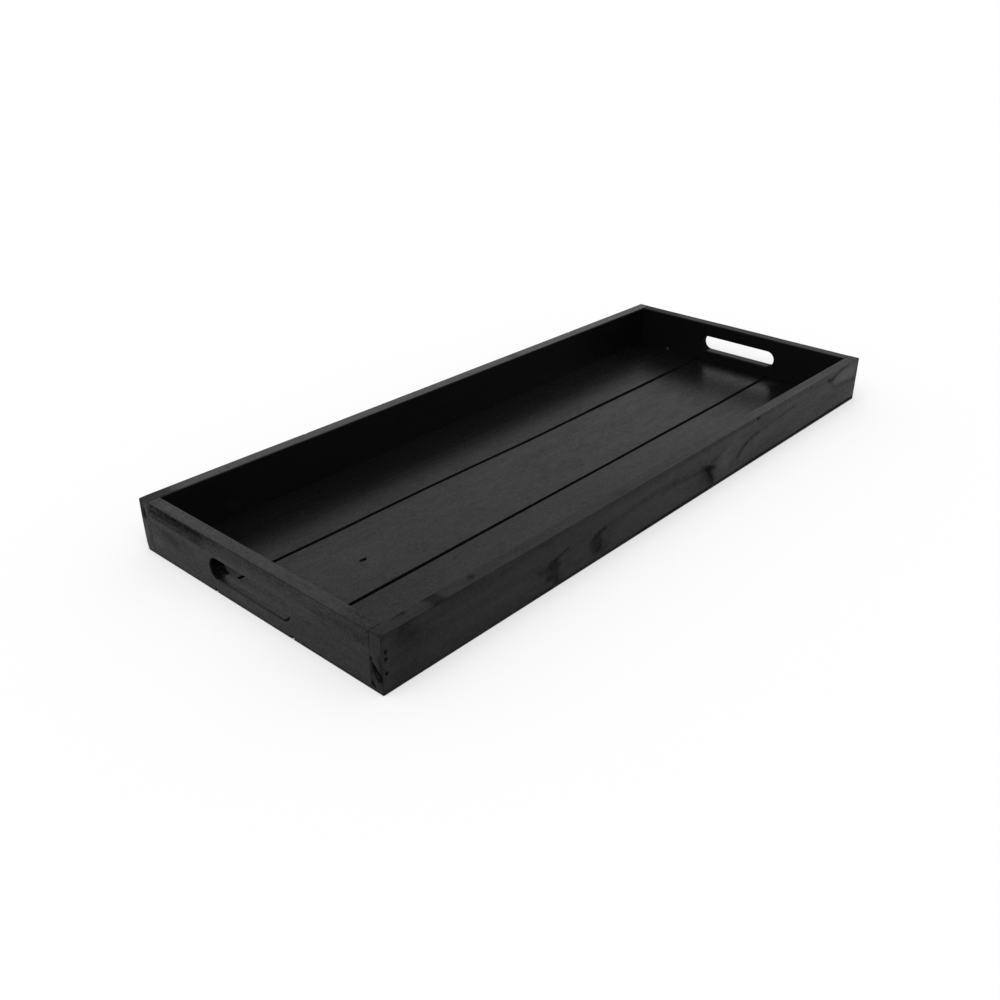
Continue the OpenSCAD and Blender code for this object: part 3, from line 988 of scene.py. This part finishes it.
# %% The two end boards
left_marks = [
    # painted shade makes the outer face duller than the top, and most so under its upper edge
    ("left", -0.15, 60, [(-140, 24), (140, 24)], HARD),
    ("left", -0.17, 8, [(-60, 47), (132, 47)]),
    # the dark band under the top edge, with a sharp lower side, which ends halfway along
    ("left", -0.28, 6.9, [(126, 40.7), (62, 40.9)], HARD),
    ("left", -0.12, 5.0, [(126, 42.5), (64, 42.5)]),
    ("left", -0.12, 1.6, [(128, 41), (92, 41)]),
    ("left", -0.20, 1.4, [(118, 45.4), (54, 45.4)]),
    ("left", -0.10, 1.2, [(130, 35.4), (60, 35.6)]),
    ("left", -0.16, 4.5, [(56, 43), (40, 44)]),
    ("left", -0.12, 4.0, [(112, 26), (96, 24)]),
    ("left", -0.14, 7.0, [(124, 26), (96, 25)]),
    ("left", -0.08, 8.0, [(112, 13), (84, 14)]),
    ("left", -0.14, 6.0, [(-130, 42), (-84, 42)]),
    ("left", 0.12, 4.0, [(-70, 33), (34, 33)]),
    ("left", -0.10, 3.0, [(84, 28), (72, 22)]),
    ("left", -0.12, 3.0, [(-100, 38), (-108, 37)]),
    ("left", -0.22, 3.0, [(-118, 36), (-124, 35)]),
    ("left", -0.16, 2.5, [(-72, 36), (-86, 36)]),
    ("left", -0.10, 2.0, [(-76, 20), (-96, 17)]),
    # the top is duller towards the near corner and at the far one
    ("top", -0.30, 12, [(-344, -130), (-344, -114)]),
    ("top", -0.2, 9, [(-344, 131), (-344, 127)]),
]
right_marks = [
    # a pale fleck low on the inner face, which is a little paler all over
    ("left", 2.5, 1.1, [(92, 4.2)]),
    ("left", 0.05, 60, [(-140, 24), (140, 24)], HARD),
    # the top is duller towards the back
    ("top", -0.12, 9, [(344, -65), (344, 132)]),
    ("top", -0.25, 12, [(344, 92), (344, 132)]),
]
end_board("left_board", "left_end_board", left_wood, 31, (1.4, -0.85, -0.75), left_marks)
end_board(
    "right_board", "right_end_board", right_wood, 47, (-1.7, 0.8, -2.2), right_marks, specks=(92,)
)

# %% [markdown]
# ## The floor planks
#
# Three planks lie side by side with open gaps between them. They were sawn thin and planed on
# the upper side. The middle plank has lost a small knot: a forked hole not far from the near end.
# Underneath, nails hold the planks to the frame, and their pits show.

# %% The lost knot
HOLE_AT, HOLE_MESH = (-245.5, -6.0), ((5, 0.45), (3, 0.4))
HOLE_PARTS = [(-1.4, 0.3, 2.6, 1.7), (1.9, 0.9, 1.9, 1.1), (0.9, -0.9, 1.7, 0.9)]
HOLE_DEPTH, HOLE_RIM, HOLE_FLAT = 1.8, 0.5, 0.45


def knot_hole(points, marks, top):
    """Presses a forked hole into the top, from ovals (x, y, half length, half width), and paints shade into
    it.
    """
    for dx, dy, long, wide in HOLE_PARTS:
        at = (HOLE_AT[0] + dx, HOLE_AT[1] + dy, top)
        press(points, at, (long, wide, HOLE_RIM), (0, 0, -HOLE_DEPTH), HOLE_FLAT)
        ends = [(at[0] - long + wide, at[1]), (at[0] + long - wide, at[1])]
        # painted shade blackens the hole
        marks.append(("top", -1.0, wide, ends, HARD))


print("The knot left a hole", HOLE_DEPTH, "mm deep")

# %% Build a plank
PLANK_PITCHES = (4, 3.5, 0.9)
PLANK_PIT_STEP, PIT_RISE, UNDER_NAIL_PIT_SHADE = 0.52, 1, 0.8
BEND_REACH, GAP_REACH, GAP_STEP = 30.0, 2, 0.6
END_SAWN, GAP_WALL, OUTER_EDGE = (-0.45, 0.8), (-1.0, 3), (-0.4, 0.9)
END_RISE, EDGE_RISE = 1.1, 1.5


def plank(name, node, finish, bends, marks=(), sharp=(), hole=False, worn_corner=False):
    """A floor plank. Bends holds, for its front edge (-1) and back edge (1) where it has a gap, how
    far the saw strayed to the back, as places (x, millimetres). Sharp holds the gap edges that were
    left unplaned."""
    low, high = wood_box(node)
    mine = floor_nails[(floor_nails[:, 1] > low[1]) & (floor_nails[:, 1] < high[1])]
    x_spots = [(x, PIT_REACH, PLANK_PIT_STEP) for x in np.unique(mine[:, 0].round(1))]
    y_spots = [(y, PIT_REACH, PLANK_PIT_STEP) for y in np.unique(mine[:, 1].round(1))]
    y_spots += [(low[1] if side < 0 else high[1], GAP_REACH, GAP_STEP) for side in bends]
    if hole:
        x_spots.append((HOLE_AT[0], *HOLE_MESH[0]))
        y_spots.append((HOLE_AT[1], *HOLE_MESH[1]))
    planed = set(bends) - set(sharp)
    rounds = [(PLANK_ROUND if side in planed else JOINT_ROUND, side, 1) for side in (-1, 1)]
    low, high, flat, points, quads = plain_board(
        node, PLANK_PITCHES, (x_spots, y_spots, ()),
        [*rounds, (SAWN_ROUND, 0, -1)], (SAWN_ROUND, JOINT_ROUND),
    )
    marks = [*marks, ("left", *END_SAWN, [(low[1], END_RISE), (high[1], END_RISE)])]
    for side, title in ((-1, "front"), (1, "back")):
        kind, power = (GAP_WALL, HARD) if side in bends else (OUTER_EDGE, SOFT)
        marks.append((title, *kind, [(low[0], EDGE_RISE), (high[0], EDGE_RISE)], power))
    for x, y in mine:
        press(points, (x, y, low[2]), (PIT_REACH, PIT_REACH, PIT_RISE), (0, 0, PIT_DEPTH), PIT_FLAT)
        # painted shade darkens each nail pit underneath
        marks.append(("bottom", -UNDER_NAIL_PIT_SHADE, PIT_REACH, [(x, y)], HARD))
    if hole:
        knot_hole(points, marks, high[2])
    for side, bend in bends.items():
        near = fading(np.abs(flat[:, 1] - (low[1] if side < 0 else high[1])), BEND_REACH)
        points[:, 1] += soften(near) * np.interp(flat[:, 0], *zip(*bend))
    if worn_corner:
        wear_corner(flat, points, low, high)
    make_piece(
        name, node, points, quads, finish, SLOT_FLOOR, rings=np.zeros(len(flat)),
        stain=marked(flat, low, high, marks), worn=np.zeros(len(flat)),
    )


print("Where the saw strayed, a plank bends over", BEND_REACH, "mm beside its gap")

# %% The three planks
front_plank_bends = {1: [
    (-350, -1.75), (-285, -1.75), (-235, -1.65), (-160, -1.15), (-60, -0.8), (40, -0.55), (110, -0.15),
    (190, -0.05), (240, 0.1), (290, 0.9), (350, 1.6),
]}
middle_plank_bends = {
    -1: [
        (-350, -1.6), (-285, -1.6), (-235, -1.4), (-160, -1.15), (-60, -0.95), (40, -0.7), (110, -0.05),
        (190, 0.2), (240, 0.3), (290, 1.1), (350, 1.8),
    ],
    1: [
        (-350, -0.6), (-235, -0.6), (-185, 0.1), (-120, 0.5), (-60, 0.0), (-10, -0.6), (15, -1.1), (50, -0.9),
        (90, -0.3), (140, 0.0), (215, 0.4), (265, 0.9), (350, 1.4),
    ],
}
back_plank_bends = {-1: [
    (-350, -0.6), (-235, -0.7), (-160, 0.2), (-110, 0.4), (-60, 0.0), (-10, -0.7), (40, -1.0), (90, 0.0),
    (140, 0.4), (215, 0.75), (265, 1.2), (350, 1.7),
]}
front_plank_marks = [
    # the foot of the tray, dark along the joint with the side board
    ("front", -0.45, 0.8, [(-200, 2.5), (350, 2.7)]),
    ("front", -0.35, 0.8, [(-60, 2.7), (350, 2.8)]),
    # painted light: paler near the viewer, painted shade where the far slot mirrors in it, and a painted
    # highlight beyond that place
    ("top", 0.10, 28, [(-335, -90), (-90, -90)]),
    ("top", -0.20, 18, [(287, -48), (287, -72)]),
    ("top", 0.12, 6, [(321, -48), (321, -60)]),
]
middle_plank_marks = [
    # the dull arris beside its front gap, broader towards the far end
    ("top", -1.0, 0.9, [(-350, -44.75), (350, -44.75)], HARD),
    ("top", -1.0, 1.4, [(245, -44.75), (350, -44.75)], HARD),
    # painted light, as on the front plank: paler near the viewer, painted shade beyond the middle and where
    # the far slot mirrors in it, and a painted highlight beyond that place
    ("top", 0.10, 34, [(-340, 0), (-240, 0)]),
    ("top", -0.06, 60, [(20, 0), (260, 0)]),
    ("top", -0.25, 20, [(287, -44), (287, 32)]),
    ("top", 0.12, 6, [(321, -44), (321, 32)]),
]
back_plank_marks = [
    # the dull arris beside its gap, and a pale place near the near end
    ("top", -0.9, 1.0, [(120, 47.5), (350, 47.5)], HARD),
    ("top", -0.9, 1.5, [(255, 47.5), (350, 47.5)], HARD),
    ("top", 0.08, 2.0, [(-230, 95), (-230, 87)]),
]
plank(
    "front_plank", "front_floor_plank", front_plank_wood, front_plank_bends, front_plank_marks, sharp=(1,)
)
plank(
    "middle_plank", "middle_floor_plank", middle_plank_wood, middle_plank_bends, middle_plank_marks, hole=True
)
plank(
    "back_plank", "back_floor_plank", back_plank_wood, back_plank_bends, back_plank_marks, worn_corner=True
)

# %% [markdown]
# ## The nails
#
# The nails' shapes come straight from the CAD. Their heads were stained along with the wood, so
# they get a dark, slightly uneven steel with a hint of brown where the stain has worn thin.

# %% Finish the nails
DARK_STEEL, WORN_STEEL = (0.0015, 0.0015, 0.0015, 1), (0.008, 0.0075, 0.007, 1)
DARK_TO, WORN_FROM = 0.35, 0.75
STEEL_MOTTLE, STEEL_BUMP, STEEL_RELIEF = 1400.0, 0.4, 0.1 * MM
EVEN, UNEVEN = 0.3, 0.7
SMOOTH_STEEL, ROUGH_STEEL = 0.5, 0.7

nail_steel = bpy.data.materials.new("stained_nails")
tree = new_tree(nail_steel)
place = add(tree, "TexCoord").outputs["Object"]
mottle = add(tree, "TexNoise", {"Vector": place, "Scale": STEEL_MOTTLE, "Detail": 3.0}).outputs["Fac"]
colour = add(tree, "ValToRGB", {"Fac": mottle})
dark_end, worn_end = colour.color_ramp.elements
dark_end.position, dark_end.color = DARK_TO, DARK_STEEL
worn_end.position, worn_end.color = WORN_FROM, WORN_STEEL
bump = add(tree, "Bump", {"Height": mottle, "Strength": STEEL_BUMP, "Distance": STEEL_RELIEF})
steel = add(tree, "BsdfPrincipled", {
    "Base Color": colour.outputs["Color"],
    "Roughness": spread(tree, mottle, EVEN, UNEVEN, SMOOTH_STEEL, ROUGH_STEEL),
    "Normal": bump.outputs[0],
})
steel.inputs["Metallic"].default_value = 1.0
to_output(tree, steel)
for node in ("corner_nails", "floor_nails"):
    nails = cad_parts[node]
    nails.data.materials.clear()
    nails.data.materials.append(nail_steel)
    print(node, "keeps its CAD shape and gets the dark steel")

# %% [markdown]
# ## Check the size
#
# The dressed tray must fill the same space as the CAD model. The last line prints the largest
# difference between its box and the CAD box.

# %% Compare the sizes and finish
low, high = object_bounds()
differences = [abs(a - b) for a, b in zip((*low, *high), (*cad_low, *cad_high))]
print("Largest difference in size:", round(max(differences) / MM, 3), "mm")
